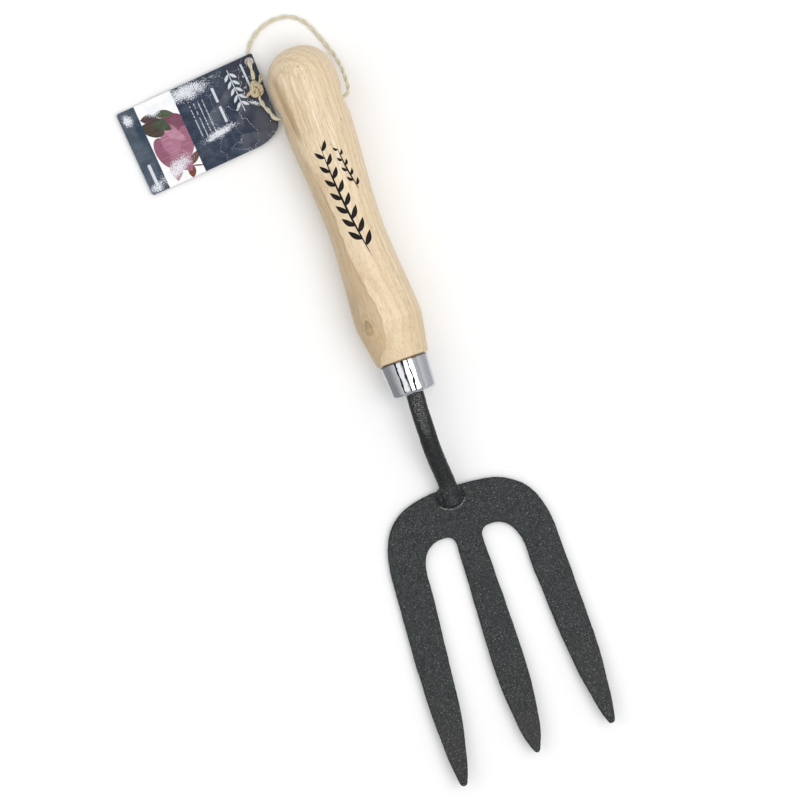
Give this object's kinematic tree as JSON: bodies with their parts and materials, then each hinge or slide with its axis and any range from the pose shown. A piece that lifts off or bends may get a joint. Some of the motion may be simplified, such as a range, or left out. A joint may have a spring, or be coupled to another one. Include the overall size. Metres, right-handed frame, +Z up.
{
  "type": "garden hand fork",
  "caption": "Garden hand fork with flat straight tines on a cranked neck, a bright ferrule, a turned wooden handle, a twine hanging loop and a card label.",
  "frame": {"origin": "on the flat back of the fork head, under the weld of the neck", "axes": "+Y along the handle towards its butt, -Y towards the tines' tips, +Z up out of the fork's face, +X to the right when it is seen face up with the handle away from the viewer"},
  "size_m": [0.1171, 0.3352, 0.0298],
  "materials": {
    "handle_wood": "pale ash, satin varnish",
    "ferrule_chrome": "bright plated",
    "coated_steel": "charcoal hammertone coating",
    "jute_twine": "natural two-ply jute",
    "printed_card": "glossy laminate, slate blue print"
  },
  "bodies": {
    "tool": {"handle": "handle_wood", "ferrule": "ferrule_chrome", "neck_rod": "coated_steel", "weld_bead": "coated_steel", "fork_head": "coated_steel"},
    "hanging_loop": {"hanging_twine": "jute_twine", "twine_knot": "jute_twine", "twine_tail_long": "jute_twine", "twine_tail_short": "jute_twine"},
    "label": {"label_card": "printed_card"}
  },
  "joints": [
    {"name": "loop_swing", "type": "hinge", "parent": "tool", "child": "hanging_loop", "pos_m": [0, 0.1804, 0.0149], "axis": [1, 0, 0], "range_deg": [0, 165]},
    {"name": "label_swivel", "type": "hinge", "parent": "hanging_loop", "child": "label", "pos_m": [-0.01875, 0.2089, 0.0026], "axis": [-0.0365, -0.0031, 0.9993], "range_deg": [-75, 0]}
  ]
}
